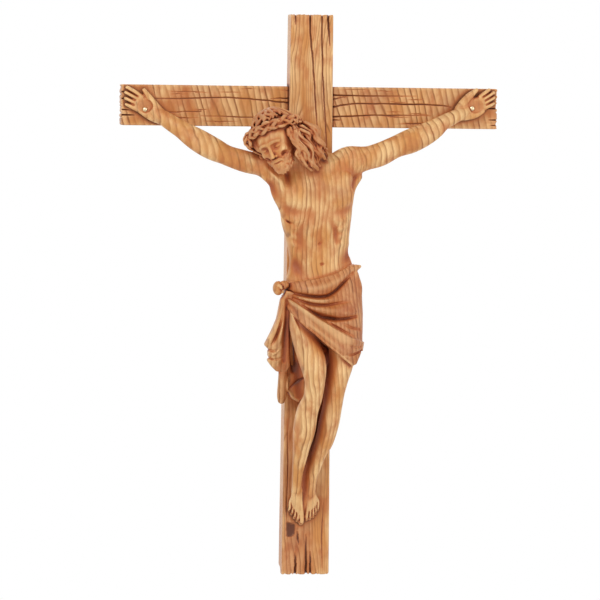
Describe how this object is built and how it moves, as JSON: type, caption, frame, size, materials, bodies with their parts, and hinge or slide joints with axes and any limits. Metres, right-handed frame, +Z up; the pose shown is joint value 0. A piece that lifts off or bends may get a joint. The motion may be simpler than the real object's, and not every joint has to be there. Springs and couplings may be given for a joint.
{
  "type": "wall crucifix",
  "caption": "Carved wooden wall crucifix: half-lapped cross, figure in a knotted loincloth pinned through the palms, recessed D-ring hanger on the back.",
  "frame": {"origin": "on the wall plane, at the middle of the crossing of upright and crossbeam", "axes": "+Z up along the upright, +X to the viewer's right along the crossbeam, +Y into the wall, so the figure faces -Y"},
  "size_m": [0.365, 0.094, 0.54],
  "materials": {
    "beam_wood": "oiled light wood, stained in its cracks",
    "figure_wood": "carved light wood, red-brown stain in its hollows",
    "dowel_wood": "plain beech",
    "pin_brass": "satin",
    "screw_steel": "zinc plated",
    "hanger_brass": "satin"
  },
  "bodies": {
    "cross": {"upright_beam": "beam_wood", "crossbeam": "beam_wood", "corpus_trunk": "figure_wood", "corpus_head": "figure_wood", "crown_of_thorns": "figure_wood", "right_arm": "figure_wood", "left_arm": "figure_wood", "loincloth_tail": "figure_wood", "shoulder_dowels": "dowel_wood", "neck_dowel": "dowel_wood", "palm_pins": "pin_brass", "lap_screws": "screw_steel", "corpus_screws": "screw_steel", "hanger_plate": "hanger_brass", "hanger_screws": "screw_steel"},
    "ring": {"hanger_ring": "hanger_brass"}
  },
  "joints": [
    {"name": "ring_swing", "type": "hinge", "parent": "cross", "child": "ring", "pos_m": [0, -0.004, 0.054], "axis": [1, 0, 0], "range_deg": [0, 180]}
  ]
}
